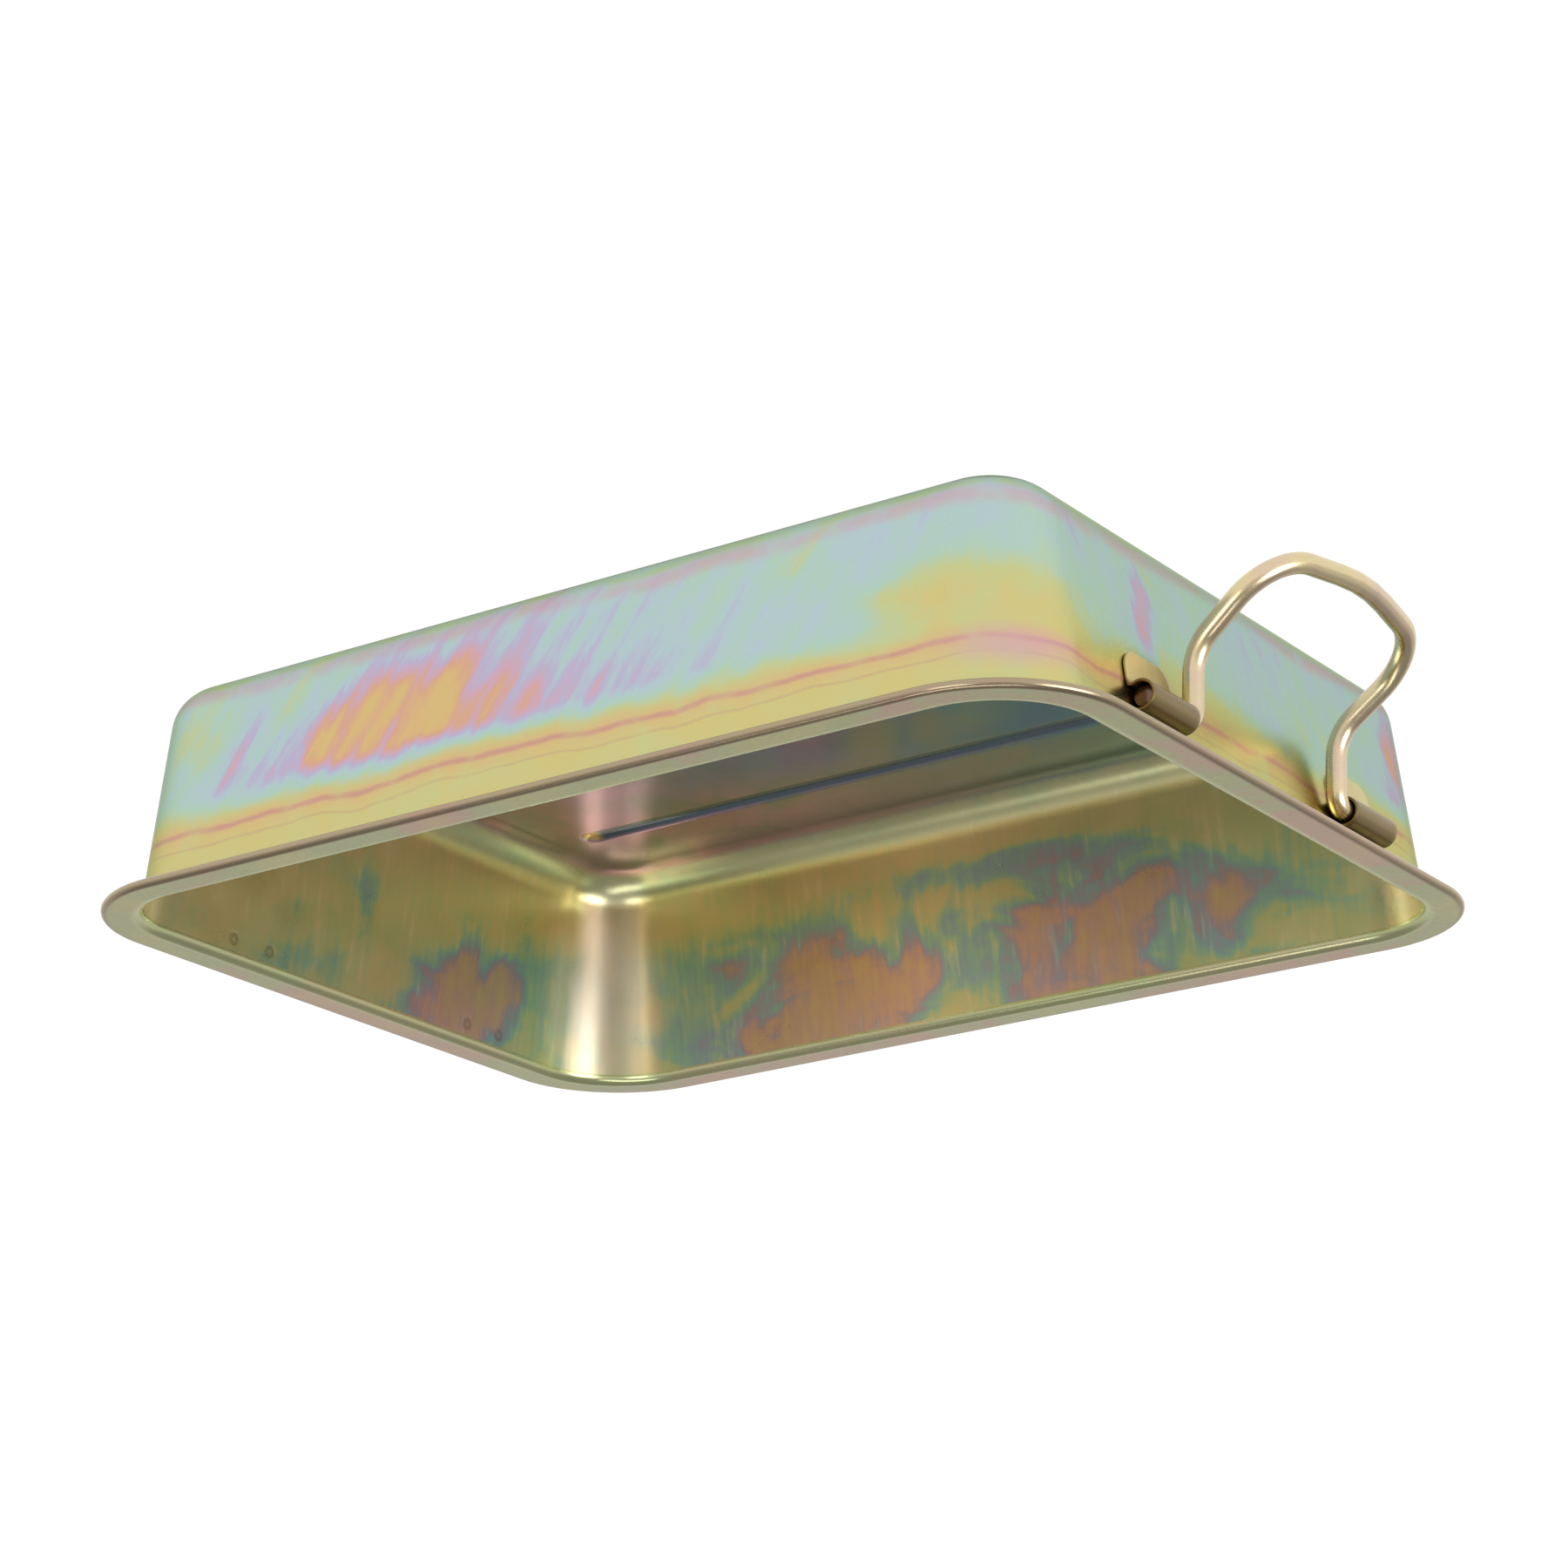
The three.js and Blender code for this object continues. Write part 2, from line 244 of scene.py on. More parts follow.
PAN_OUTSIDE, PAN_INSIDE, PAN_RIM = range(3)

# Where the base grid has lines beside a groove: millimetres from the groove's centre line.
GROOVE_LINES = (0, 1.0, 1.7, 2.0, 2.4, 2.8, 3.2, 3.6, 4.0, 4.4, 4.8, 5.2, 6.0, 8.0)


def spaced(start, end, longest):
    """Even positions from the start up to the end, which is left out."""
    parts = max(1, math.ceil((end - start) / longest))
    return [start + (end - start) * i / parts for i in range(parts)]


def grid_lines(half, centres, longest):
    """Line positions from -half to half, close together round each groove edge."""
    digits = 7                   # decimals that tell two lines apart
    fine = sorted({
        round(centre + side * away * MM, digits)
        for centre in centres for away in GROOVE_LINES for side in (-1, 1)
    })
    fine = [v for v in fine if abs(v) < half - GRID_MARGIN]
    lines = []
    last = -half
    for v in [*fine, half]:
        lines += spaced(last, v, longest)
        last = v
    return [*lines, half]


X_SIDE = HALF_LENGTH - RIM_CORNER_RADIUS
Y_SIDE = HALF_WIDTH - RIM_CORNER_RADIUS
GROOVE_CAP = GROOVE_HALF_LENGTH - GROOVE_TOP
GROOVE_CENTRES = (-GROOVE_PITCH, 0, GROOVE_PITCH)
X_LINES = grid_lines(X_SIDE, (-GROOVE_CAP, GROOVE_CAP), GRID_STEP)
Y_LINES = grid_lines(Y_SIDE, GROOVE_CENTRES, GRID_STEP)


def groove_drop(x, y):
    """How far the grooves press the base panel down at a point."""
    along = max(0, abs(x) - GROOVE_CAP)
    across = min(abs(y - centre) for centre in GROOVE_CENTRES)
    t = (GROOVE_TOP - math.hypot(along, across)) / (GROOVE_TOP - GROOVE_FLOOR)
    t = min(1, max(0, t))
    smooth = t * t * (3 - 2 * t)
    return GROOVE_DEPTH * smooth


def pan_ring(build, inset, z):
    """Rounded rectangle of vertices whose straight sides keep to the base's grid lines."""
    radius = RIM_CORNER_RADIUS - inset
    corners = ((1, 1), (-1, 1), (-1, -1), (1, -1))
    sides = (
        [(-x, Y_SIDE + radius) for x in X_LINES[1:-1]],
        [(-X_SIDE - radius, -y) for y in Y_LINES[1:-1]],
        [(x, -Y_SIDE - radius) for x in X_LINES[1:-1]],
        [(X_SIDE + radius, y) for y in Y_LINES[1:-1]],
    )
    ring = []
    for quarter, (sx, sy) in enumerate(corners):
        for i in range(CORNER_STEPS + 1):
            angle = (quarter + i / CORNER_STEPS) * math.pi / 2
            x = sx * X_SIDE + radius * math.cos(angle)
            y = sy * Y_SIDE + radius * math.sin(angle)
            ring.append(build.verts.new((x, y, z)))
        ring += [build.verts.new((x, y, z)) for x, y in sides[quarter]]
    return ring


def base_panel(build, ring, z):
    """Grid of the grooved base, joined to the ring of vertices round it."""
    grid = [[build.verts.new((x, y, z - groove_drop(x, y))) for y in Y_LINES] for x in X_LINES]
    nx, ny = len(X_LINES), len(Y_LINES)
    for i in range(nx - 1):
        for j in range(ny - 1):
            build.faces.new((grid[i][j], grid[i + 1][j], grid[i + 1][j + 1], grid[i][j + 1]))
    border = (
        [grid[nx - 1 - i][ny - 1] for i in range(nx)],
        [grid[0][ny - 1 - j] for j in range(ny)],
        [grid[i][0] for i in range(nx)],
        [grid[nx - 1][j] for j in range(ny)],
    )
    start = 0
    for side in border:
        arc = ring[start:start + CORNER_STEPS + 1]
        for a, b in zip(arc, arc[1:]):
            build.faces.new((a, b, side[0]))
        edge = [ring[(start + CORNER_STEPS + i) % len(ring)] for i in range(len(side))]
        for i in range(len(side) - 1):
            build.faces.new((edge[i], edge[i + 1], side[i + 1], side[i]))
        start += CORNER_STEPS + len(side) - 1


def finish_base(build, z):
    """Give the inside's finish to all that lies no higher than the inner base, underside too."""
    level = z + 1e-4 * MM        # allows for rounding
    for face in build.faces:
        if face.material_index == PAN_OUTSIDE and all(v.co.z <= level for v in face.verts):
            face.material_index = PAN_INSIDE


def wall_inset(height):
    """Distance from the rim's edge in to the wall's outer face."""
    return WALL_INSET_BASE - (height - BASE_UNDERSIDE) * WALL_SLOPE


def pan_section():
    """Middle of the sheet: x is the inset from the rim's edge, y the height."""
    top = HEIGHT - SHEET / 2

    def at(inset, z):
        return Vector((inset, z, 0))

    def wall(z):
        return at(wall_inset(z) + SHEET / 2 / math.cos(DRAFT), z)

    base = BASE_UNDERSIDE + SHEET / 2
    corners = [at(BASE_FLAT_INSET, base), wall(base), wall(top), at(CURL_RADIUS, top)]
    sheet = bent_path(corners, [BASE_BEND, FLANGE_BEND])
    curl = arc_path(
        at(CURL_RADIUS, HEIGHT - CURL_RADIUS), CURL_RADIUS - SHEET / 2,
        math.pi / 2, CURL_END, CURL_BEND,
    )
    return with_support([*sheet[:-1], *curl], SECTION_STEP)


def make_pan(materials):
    build = bmesh.new()
    section = pan_section()
    under = [pan_ring(build, p.x, p.y) for p in offset_path(section, SHEET / 2)]
    upper = [pan_ring(build, p.x, p.y) for p in offset_path(section, -SHEET / 2)]
    flange = HEIGHT - SHEET - FLANGE_BEND
    inner_base = BASE_UNDERSIDE + SHEET
    for rings, surface in ((under, PAN_OUTSIDE), (upper, PAN_INSIDE)):
        for a, b in zip(rings, rings[1:]):
            on_rim = min(a[0].co.z, b[0].co.z) > flange
            bridge(build, a, b, PAN_RIM if on_rim else surface)
    bridge(build, under[-1], upper[-1], PAN_RIM)
    base_panel(build, under[0], BASE_UNDERSIDE)
    base_panel(build, upper[0], inner_base)
    finish_base(build, inner_base)
    new_piece("pan_body", build, "tray", "tray_pan", materials)


# ---- the handles ------------------------------------------------------------------------------

def turned(point, rear):
    """A point of the front end, or its twin at the rear end."""
    return Vector((-point.x, -point.y, point.z)) if rear else point


def handle_path(pivot):
    """(point, direction) along the front handle's wire, from its +Y end to its -Y end."""
    knee = pivot + Vector((-math.sin(LEG_LEAN), 0, -math.cos(LEG_LEAN))) * LEG_LENGTH
    arm = Vector((-math.sin(ARM_ANGLE), 0, -math.cos(ARM_ANGLE)))

    def at(point, y):
        return Vector((point.x, y, point.z))

    half = [
        at(pivot, PIVOT_END),
        at(pivot, LEG_HALF_SPACING),
        at(knee, KNEE_HALF_SPACING),
        at(knee + arm * ARM_LENGTH, GRIP_HALF_WIDTH),
    ]
    other = [Vector((p.x, -p.y, p.z)) for p in reversed(half)]
    bow = at(knee + arm * (ARM_LENGTH + GRIP_BOW), 0)
    return bent_path(
        [*half, bow, *other], [*WIRE_BENDS, GRIP_BOW_BEND, *reversed(WIRE_BENDS)],
    )


def wire_ring(build, centre, direction, side, radius):
    """Circle of vertices round a point of the wire; side is the last ring's first spoke."""
    side = (side - direction * side.dot(direction)).normalized()
    other = direction.cross(side)
    ring = []
    for i in range(WIRE_SIDES):
        angle = 2 * math.pi * i / WIRE_SIDES
        spoke = side * math.cos(angle) + other * math.sin(angle)
        ring.append(build.verts.new(centre + spoke * radius))
    return ring, side


def make_handle(name, rear, material):
    joint = next(j for j in frame["joints"] if j["child"] == name)
    pivot = Vector(joint["pos_m"])
    path = with_support(handle_path(turned(pivot, rear)), WIRE_STEP)
    path = [(turned(p, rear), turned(d, rear)) for p, d in path]
    start, first = path[0]
    end, last = path[-1]
    chamfered = [
        (start, first, WIRE_RADIUS - WIRE_END_CHAMFER),
        (start + first * WIRE_END_CHAMFER, first, WIRE_RADIUS),
        *((p, d, WIRE_RADIUS) for p, d in path[1:-1]),
        (end - last * WIRE_END_CHAMFER, last, WIRE_RADIUS),
        (end, last, WIRE_RADIUS - WIRE_END_CHAMFER),
    ]
    build = bmesh.new()
    side = Vector((0, 0, 1))
    rings = []
    for point, direction, radius in chamfered:
        ring, side = wire_ring(build, point, direction, side, radius)
        rings.append(ring)
    for a, b in zip(rings, rings[1:]):
        bridge(build, a, b)
    build.faces.new(rings[0])
    build.faces.new(rings[-1])
    new_piece(name + "_wire", build, name, name, [material])


# ---- the clips --------------------------------------------------------------------------------

def strap_path():
    """Middle of the strap: x out from the wall, y up it."""
    strap_x = CLIP_GAP + SHEET / 2
    fillet_x = strap_x + BARREL_FILLET
    fillet_y = math.sqrt((BARREL_RADIUS + BARREL_FILLET) ** 2 - (BARREL_STANDOFF - fillet_x) ** 2)
    meet = math.atan2(fillet_y, fillet_x - BARREL_STANDOFF)
    down = Vector((0, -1, 0))

    def at(x, y):
        return Vector((x, y, 0))

    upper = arc_path(at(fillet_x, fillet_y), BARREL_FILLET, math.pi, math.pi + meet, 2 * FINE_BEND)
    barrel = arc_path(at(BARREL_STANDOFF, 0), BARREL_RADIUS, meet, -meet, FINE_BEND)
    lower = arc_path(at(fillet_x, -fillet_y), BARREL_FILLET, math.pi - meet, math.pi, 2 * FINE_BEND)
    path = [(at(strap_x, STRAP_TOP), down), *upper[:-1], *barrel, *lower[1:]]
    path.append((at(strap_x, -TONGUE_END), down))
    return with_support(path, STRAP_STEP, STRAP_SUPPORT)


def strap_span(y):
    """How far the strap's sides come in at height y, where the tongue's corners are round."""
    into = TONGUE_CORNER - (y + TONGUE_END)
    if into <= 0:
        return 0
    return TONGUE_CORNER - math.sqrt(max(0, TONGUE_CORNER ** 2 - into ** 2))


def wall_point(x, y, along):
    """A point x off the end wall and y up it from the clip's height, at the front end."""
    outward = Vector((-math.cos(DRAFT), 0, -math.sin(DRAFT)))
    up = Vector((-math.sin(DRAFT), 0, math.cos(DRAFT)))
    foot = Vector((wall_inset(CLIP_HEIGHT) - HALF_LENGTH, 0, CLIP_HEIGHT))
    return foot + outward * x + up * y + Vector((0, along, 0))


def strap_rows(build, points, rear, low, high):
    """Rows of vertices across one face of the strap, from its top to its tongue."""
    rows = []
    for p in points:
        inset = strap_span(p.y)
        row = []
        for i in range(STRAP_COLUMNS + 1):
            along = low + inset + (high - low - 2 * inset) * i / STRAP_COLUMNS
            row.append(build.verts.new(turned(wall_point(p.x, p.y, along), rear)))
        rows.append(row)
    return rows


def make_clip(name, rear, low, high, material):
    build = bmesh.new()
    path = strap_path()
    outer = strap_rows(build, offset_path(path, SHEET / 2), rear, low, high)
    inner = strap_rows(build, offset_path(path, -SHEET / 2), rear, low, high)
    for rows in (outer, inner):
        for a, b in zip(rows, rows[1:]):
            for i in range(STRAP_COLUMNS):
                build.faces.new((a[i], a[i + 1], b[i + 1], b[i]))
    for i in range(len(path) - 1):
        for c in (0, STRAP_COLUMNS):
            build.faces.new((outer[i][c], outer[i + 1][c], inner[i + 1][c], inner[i][c]))
    for r in (0, -1):
        for i in range(STRAP_COLUMNS):
            build.faces.new((outer[r][i], outer[r][i + 1], inner[r][i + 1], inner[r][i]))
    piece = new_piece(name + "_strap", build, "tray", name, [material])
    edges = piece.modifiers.new("worn edges", "BEVEL")
    edges.width = STRAP_EDGE_BEVEL
    edges.segments = 2
    edges.limit_method = "ANGLE"
    edges.angle_limit = math.radians(50)


# ---- node graphs ------------------------------------------------------------------------------

def srgb(r, g, b):
    """Linear colour from the 0 to 255 values of a display."""
    def linear(v):
        v /= 255
        return v / 12.92 if v <= 0.04045 else ((v + 0.055) / 1.055) ** 2.4
    return (linear(r), linear(g), linear(b), 1)


class Graph:
    """Short calls that build one material's nodes."""

    def __init__(self, name):
        self.material = bpy.data.materials.new(name)
        self.material.use_nodes = True
        self.tree = self.material.node_tree
        self.shader = self.tree.nodes["Principled BSDF"]
        self.place = self.tree.nodes.new("ShaderNodeTexCoord").outputs["Object"]
        self.x, self.y, self.z = self.split(self.place)

    def feed(self, socket, value):
        """Link a node's output to a socket, or set a plain value on it."""
        if isinstance(value, bpy.types.NodeSocket):
            self.tree.links.new(value, socket)
        else:
            socket.default_value = value

    def split(self, vector):
        node = self.tree.nodes.new("ShaderNodeSeparateXYZ")
        self.feed(node.inputs[0], vector)
        return node.outputs

    def math(self, operation, a, b=0.0):
        node = self.tree.nodes.new("ShaderNodeMath")
        node.operation = operation
        self.feed(node.inputs[0], a)
        self.feed(node.inputs[1], b)
        return node.outputs[0]

    def vector(self, operation, a, b=(0, 0, 0)):
        node = self.tree.nodes.new("ShaderNodeVectorMath")
        node.operation = operation
        self.feed(node.inputs[0], a)
        self.feed(node.inputs[1], b)
        return node.outputs["Value" if operation == "LENGTH" else "Vector"]

    def folded(self):
        """The place mirrored into the quarter of the tray where x and y are positive."""
        return self.vector("ABSOLUTE", self.place)

    def distance(self, place, centre, radii=(1, 1, 1)):
        """Distance from a centre, counted in the radii of an ellipsoid round it."""
        away = self.vector("SUBTRACT", place, centre)
        return self.vector("LENGTH", self.vector("DIVIDE", away, radii))

    def texture(self, place, scale, detail, wander=0.0):
        node = self.tree.nodes.new("ShaderNodeTexNoise")
        self.feed(node.inputs["Vector"], place)
        node.inputs["Scale"].default_value = scale
        node.inputs["Detail"].default_value = detail
        node.inputs["Distortion"].default_value = wander
        return node.outputs["Fac"]

    def noise(self, scale, detail=3.0, stretch=(1, 1, 1), shift=(0, 0, 0), wander=0.0):
        """Noise from about 0 to 1; scale is in waves per metre, stretch divides it per axis."""
        place = self.vector("ADD", self.vector("DIVIDE", self.place, stretch), shift)
        return self.texture(place, scale, detail, wander)

    def slanted(self, across, along, lean, shift):
        """Noise drawn out into streaks that lean sideways as they climb."""
        node = self.tree.nodes.new("ShaderNodeCombineXYZ")
        run = self.math("ADD", self.math("ADD", self.x, self.y), self.math("MULTIPLY", self.z, lean))
        self.feed(node.inputs[0], self.math("MULTIPLY", run, across))
        self.feed(node.inputs[1], self.math("MULTIPLY", self.z, along))
        self.feed(node.inputs[2], shift)
        return self.texture(node.outputs[0], scale=1.0, detail=3.0)

    def step(self, value, low, high):
        """0 at low and 1 at high, smooth between; low may be the greater of the two."""
        node = self.tree.nodes.new("ShaderNodeMapRange")
        node.interpolation_type = "SMOOTHSTEP"
        self.feed(node.inputs["Value"], value)
        node.inputs["From Min"].default_value = low
        node.inputs["From Max"].default_value = high
        return node.outputs[0]

    def swung(self, middle, *swings):
        """A middle value, plus each noise's swing of about half its amount either way."""
        for noise, amount in swings:
            swing = self.math("MULTIPLY", self.math("SUBTRACT", noise, 0.5), amount)
            middle = self.math("ADD", middle, swing)
        return middle

    def blend(self, amount, a, b):
        """a where the amount is 0 and b where it is 1, for plain numbers."""
        kept = self.math("MULTIPLY", a, self.math("SUBTRACT", 1.0, amount))
        return self.math("ADD", kept, self.math("MULTIPLY", b, amount))

    def blob(self, centre, radii, ragged, noise):
        """1 at the centre of an ellipsoid and 0 past its surface, which the noise makes ragged."""
        distance = self.swung(self.distance(self.place, centre, radii), (noise, ragged))
        return self.step(distance, 1.0, 0.0)

    def ramp(self, value, stops):
        node = self.tree.nodes.new("ShaderNodeValToRGB")
        elements = node.color_ramp.elements
        while len(elements) < len(stops):
            elements.new(1)
        for element, (position, colour) in zip(elements, stops):
            element.position = position
            element.color = colour
        self.feed(node.inputs[0], value)
        return node.outputs[0]

    def mix(self, amount, a, b):
        """Colour a where the amount is 0 and b where it is 1."""
        node = self.tree.nodes.new("ShaderNodeMix")
        node.data_type = "RGBA"
        first, second = node.inputs[6], node.inputs[7]     # the node's two colour inputs
        self.feed(node.inputs[0], amount)
        self.feed(first, a)
        self.feed(second, b)
        return node.outputs[2]                             # and its colour output

    def tint(self, colour, tint, mask, amount):
        """The colour, mixed with a tint by the amount where the mask is 1."""
        return self.mix(self.math("MULTIPLY", mask, amount), colour, tint)

    def bump(self, height, distance, strength):
        node = self.tree.nodes.new("ShaderNodeBump")
        node.inputs["Strength"].default_value = strength
        node.inputs["Distance"].default_value = distance
        self.feed(node.inputs["Height"], height)
        self.feed(self.shader.inputs["Normal"], node.outputs[0])

    def finish(self, colour, roughness):
        self.feed(self.shader.inputs["Base Color"], colour)
        self.feed(self.shader.inputs["Roughness"], roughness)
        self.shader.inputs["Metallic"].default_value = 1.0
        return self.material


# How much a patchy noise counts against a streaky one in the sheet's bump, and the bump's height.
SHEET_PATCH_RELIEF = 3.0
SHEET_BUMP = 0.06 * MM


# ---- the sheet's outer surface ----------------------------------------------------------------

# Colours of the zinc film by its thickness, from 0, thin, to 1, thick.
OUTSIDE_FILM = [
    (0.00, srgb(208, 186, 122)),
    (0.14, srgb(212, 178, 124)),
    (0.26, srgb(210, 164, 138)),
    (0.36, srgb(204, 164, 176)),
    (0.48, srgb(182, 174, 200)),
    (0.60, srgb(174, 194, 200)),
    (0.74, srgb(172, 199, 182)),
    (0.88, srgb(192, 196, 140)),
    (1.00, srgb(204, 190, 126)),
]
OUTSIDE_THICKNESS = 0.67
YELLOW_THICKNESS = 0.97
YELLOW_FROM = 42 * MM            # the yellow band under the rim starts here
YELLOW_FULL = 56 * MM

# Areas of other film thickness outside: centre, half extents, and how much thinner the film is.
OUTSIDE_PATCHES = (
    ((0.030, -HALF_WIDTH, 0.034), (0.150, 0.06, 0.056), 0.29),
    ((0.060, -HALF_WIDTH, 0.036), (0.070, 0.06, 0.034), 0.27),
    ((-0.146, -0.122, 0.044), (0.058, 0.06, 0.026), -0.30),
    ((-HALF_LENGTH, -0.040, 0.050), (0.06, 0.100, 0.018), -0.26),
    ((-HALF_LENGTH, 0.098, 0.030), (0.06, 0.012, 0.034), 0.28),
    ((-HALF_LENGTH, -0.056, 0.034), (0.06, 0.010, 0.050), 0.26),
    ((HALF_LENGTH, 0.030, 0.030), (0.06, 0.070, 0.030), 0.50),
    ((-0.060, HALF_WIDTH, 0.032), (0.080, 0.06, 0.030), 0.50),
)

# Wavy lines that the dip left along the walls: height, half width, strength and colour.
TIDE_LINES = (
    (0.0560, 0.0060, 0.55, srgb(214, 172, 128)),
    (0.0560, 0.0016, 0.80, srgb(196, 144, 136)),
    (0.0610, 0.0008, 0.40, srgb(190, 150, 130)),
    (0.0105, 0.0045, 0.55, srgb(200, 156, 172)),
    (0.0065, 0.0022, 0.60, srgb(176, 190, 128)),
)
TIDE_WAVE = 12 * MM
TIDE_CORE = 0.1                  # share of a line's half width that has its full strength

BLUSH_CENTRE = (-0.163, -0.120, 0.058)
BLUSH_RADII = (0.036, 0.036, 0.009)
BLUSH = srgb(206, 160, 172)
# Painted shade: the outside is painted dark olive along the bend under the base, for the floor's
# shadow that this bend mirrors.
BASE_EDGE_SHADE_FROM = 5.2 * MM        # the outside darkens below here, where it turns under the base
BASE_EDGE_SHADE_FULL = 3.4 * MM
BASE_EDGE_SHADE = srgb(72, 84, 52)
OUTSIDE_GLOSS_TINT = (0.55, 0.60, 0.46, 1)


def outside_film(g, patches, streaks):
    """Film thickness on the outer walls: pale green, with mottled lilac and yellow areas."""
    clouds = g.noise(16, detail=4.0, stretch=(1.3, 1.3, 0.8), shift=(0.3, 0.1, 0.2), wander=0.6)
    brushed = g.slanted(across=110, along=22, lean=-0.5, shift=3.0)
    film = g.swung(
        OUTSIDE_THICKNESS, (clouds, 0.64), (brushed, 0.40), (patches, 0.22), (streaks, 0.10),
    )
    for centre, radii, depth in OUTSIDE_PATCHES:
        patch = g.step(g.blob(centre, radii, ragged=0.7, noise=brushed), low=0.0, high=0.95)
        film = g.math("SUBTRACT", film, g.math("MULTIPLY", patch, depth))
    return film


def with_tide_lines(g, colour, height, patches):
    for middle, reach, amount, tint in TIDE_LINES:
        away = g.math("ABSOLUTE", g.math("SUBTRACT", height, middle))
        line = g.math("MULTIPLY", g.step(away, low=reach, high=reach * TIDE_CORE), amount)
        broken = g.step(patches, low=0.15, high=0.60)
        colour = g.mix(g.math("MULTIPLY", line, broken), colour, tint)
    return colour


def outside_material():
    g = Graph("passivated_sheet_outside")
    patches = g.noise(70, detail=4.0, shift=(1.7, 0.4, 0.9), wander=0.2)
    streaks = g.noise(420, detail=2.0, stretch=(1, 1, 14))
    height = g.swung(g.z, (g.noise(18), TIDE_WAVE))
    band = g.step(height, low=YELLOW_FROM, high=YELLOW_FULL)
    yellow = g.swung(YELLOW_THICKNESS, (patches, 0.30))
    colour = g.ramp(g.blend(band, outside_film(g, patches, streaks), yellow), OUTSIDE_FILM)
    colour = with_tide_lines(g, colour, height, patches)
    blush = g.blob(BLUSH_CENTRE, BLUSH_RADII, ragged=0.4, noise=patches)
    colour = g.tint(colour, BLUSH, mask=blush, amount=0.7)
    # Painted shade along the bend under the base.
    edge = g.step(g.z, low=BASE_EDGE_SHADE_FROM, high=BASE_EDGE_SHADE_FULL)
    colour = g.tint(colour, BASE_EDGE_SHADE, mask=edge, amount=0.9)
    g.shader.inputs["Specular Tint"].default_value = OUTSIDE_GLOSS_TINT
    relief = g.math("ADD", streaks, g.math("MULTIPLY", patches, SHEET_PATCH_RELIEF))
    g.bump(relief, SHEET_BUMP, strength=0.30)
    return g.finish(colour, g.swung(0.26, (patches, 0.14)))


# ---- the sheet's inner surface ----------------------------------------------------------------

INSIDE_FILM = [
    (0.00, srgb(222, 206, 152)),
    (0.16, srgb(222, 190, 152)),
    (0.30, srgb(216, 176, 164)),
    (0.42, srgb(186, 168, 186)),
    (0.54, srgb(160, 188, 196)),
    (0.66, srgb(168, 202, 180)),
    (0.80, srgb(206, 208, 158)),
    (1.00, srgb(224, 206, 154)),
]
INSIDE_THICKNESS = 0.84
GOLD_THICKNESS = 0.98
GOLD_FROM = 34 * MM              # the walls turn gold below here
GOLD_FULL = 20 * MM
GOLD_WAVE = 50 * MM

# Areas of other film thickness inside: centre, half extents and thickness.
INSIDE_PATCHES = (
    ((0.010, HALF_WIDTH, 0.056), (0.016, 0.05, 0.032), 0.64),
    ((0.126, HALF_WIDTH, 0.054), (0.026, 0.05, 0.034), 0.66),
    ((0.000, HALF_WIDTH, 0.026), (0.120, 0.05, 0.010), 0.62),
    ((HALF_LENGTH, -0.008, 0.040), (0.04, 0.012, 0.026), 0.60),
    ((-0.043, HALF_WIDTH, 0.062), (0.082, 0.06, 0.053), 0.27),
    ((0.063, HALF_WIDTH, 0.062), (0.078, 0.06, 0.053), 0.27),
    ((HALF_LENGTH, 0.050, 0.060), (0.05, 0.042, 0.034), 0.22),
)

SCUFF = srgb(236, 226, 204)

# Painted highlight: the four upright corners inside are painted lighter than the walls, for the lights
# they mirror.
CORNER_CENTRE = (0.154, 0.112, 0.046)
CORNER_RADII = (0.03, 0.03, 0.05)
CORNER_HIGHLIGHT = srgb(252, 232, 218)

# Painted shade: the bend between the walls and the base is painted darker and greener, for the dimmer
# reflection it shows.
BEND_SHADE = srgb(148, 172, 132)
# Painted reflection: the rear of the base is painted mauve for the far walls it mirrors.
BASE_REAR_REFLECTION = srgb(192, 152, 172)
BASE_FRONT = srgb(114, 152, 154)
BASE_CLOUD = srgb(152, 150, 144)
BASE_ROUGHNESS = 0.20
# Painted reflection: the grooves' floors are painted blue-grey for the dark they mirror.
GROOVE_REFLECTION = srgb(112, 124, 134)
GROOVE_END_GOLD = srgb(226, 190, 122)

# Rings that the clips' spot welds leave inside the end walls, folded into one quarter.
WELD_X = 167.5 * MM
WELD_ROWS = (50.9 * MM, 67.9 * MM)
WELD_HEIGHT = 68.5 * MM
WELD_RADIUS = 1.8 * MM
WELD_RING = (1.1 * MM, 0.2 * MM)     # half widths at which the ring starts and is full
WELD = srgb(120, 104, 78)
WELD_DENT = 2.0


def inside_film(g, patches, drift, streaks):
    """Film thickness inside: gold low down, teal and brown patches higher up."""
    clouds = g.noise(14, stretch=(1.5, 1.5, 0.7), shift=(0.9, 0.6, 0.1), wander=0.6)
    film = g.swung(INSIDE_THICKNESS, (clouds, 0.80), (drift, 0.70), (patches, 0.36))
    low = g.step(g.swung(g.z, (drift, GOLD_WAVE)), low=GOLD_FROM, high=GOLD_FULL)
    film = g.blend(low, film, g.swung(GOLD_THICKNESS, (patches, 0.50)))
    for centre, radii, thickness in INSIDE_PATCHES:
        patch = g.step(g.blob(centre, radii, ragged=1.1, noise=drift), low=0.0, high=0.70)
        film = g.blend(patch, film, g.swung(thickness, (patches, 0.50)))
    return g.swung(film, (streaks, 0.36))


def with_scuffs(g, colour, patches, streaks):
    """Short pale scuffs along the drawing direction."""
    scuff = g.math(
        "MULTIPLY", g.step(streaks, low=0.56, high=0.70), g.step(patches, low=0.40, high=0.60),
    )
    return g.tint(colour, SCUFF, mask=scuff, amount=0.30)


